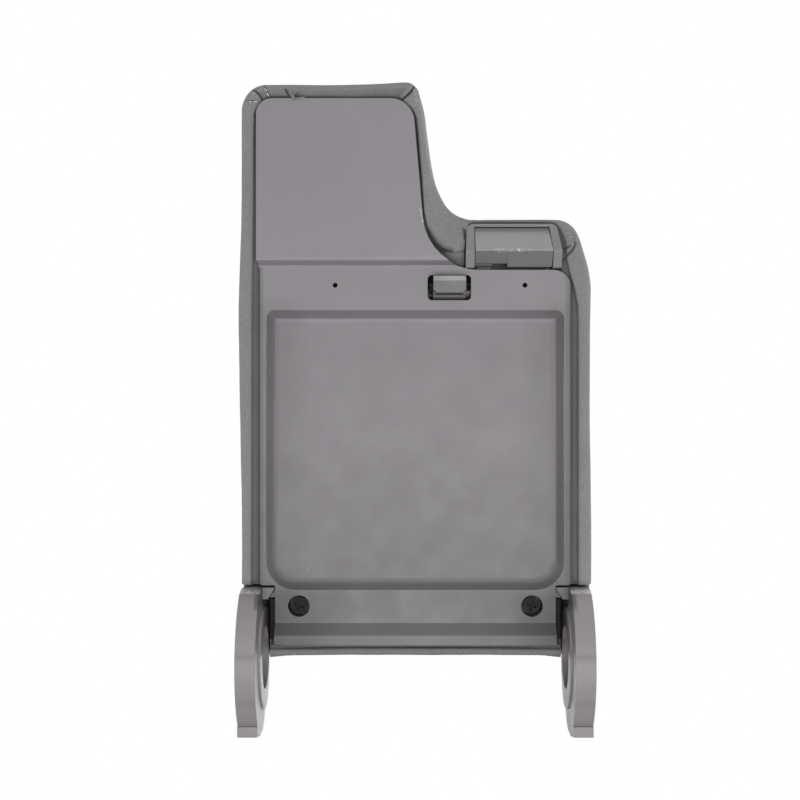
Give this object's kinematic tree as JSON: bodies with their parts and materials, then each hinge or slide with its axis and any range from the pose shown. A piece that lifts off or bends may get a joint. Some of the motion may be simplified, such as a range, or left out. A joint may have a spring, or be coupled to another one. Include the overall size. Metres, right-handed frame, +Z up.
{
  "type": "car centre armrest lid",
  "caption": "Padded, fabric wrapped armrest lid of a car console with a moulded lower panel, a sprung latch hook, a release paddle and hinge arms with bores.",
  "frame": {"origin": "middle of the hinge axis, between the two ears", "axes": "+X along the hinge axis, towards the side of the release notch; -Y towards the front of the car; +Z up through the padded top"},
  "size_m": [0.206, 0.3765, 0.094],
  "materials": {
    "cover_fabric": "woven automotive cloth",
    "foam": "soft moulded foam",
    "carrier_plastic": "moulded, plain",
    "arm_plastic": "moulded, fine grain",
    "panel_plastic": "moulded, fine grain",
    "bezel_plastic": "moulded, fine grain",
    "paddle_plastic": "moulded, worn at the crease",
    "hook_plastic": "moulded, smooth",
    "steel": "zinc plated",
    "black_steel": "black, satin"
  },
  "bodies": {
    "lid": {"cover": "cover_fabric", "foam_pad": "foam", "carrier": "carrier_plastic", "cover_staples": "steel", "hinge_arm_left": "arm_plastic", "hinge_arm_right": "arm_plastic", "arm_screws": "steel", "lower_panel": "panel_plastic", "panel_screw_left": "black_steel", "panel_screw_right": "black_steel", "release_bezel": "bezel_plastic", "bezel_screws": "steel", "paddle_pin": "steel", "paddle_spring": "steel", "latch_bracket": "carrier_plastic", "bracket_screws": "steel", "latch_pin": "steel", "latch_spring": "steel"},
    "paddle": {"release_paddle": "paddle_plastic"},
    "hook": {"latch_hook": "hook_plastic"}
  },
  "joints": [
    {"name": "paddle_pull", "type": "hinge", "parent": "lid", "child": "paddle", "pos_m": [0.0563, -0.23, -0.002], "axis": [-1, 0, 0], "range_deg": [0, 12], "stiffness_Nm_per_rad": 0.12, "springref_deg": -11.46, "deforming": ["paddle_spring"]},
    {"name": "latch_turn", "type": "hinge", "parent": "lid", "child": "hook", "pos_m": [0.0195, -0.21, 0.004], "axis": [1, 0, 0], "range_deg": [0, 14.5], "stiffness_Nm_per_rad": 0.12, "springref_deg": -11.46, "deforming": ["latch_spring"]}
  ],
  "couplings": [
    {"joint": "latch_turn", "follows": "paddle_pull", "ratio": 1.2}
  ]
}
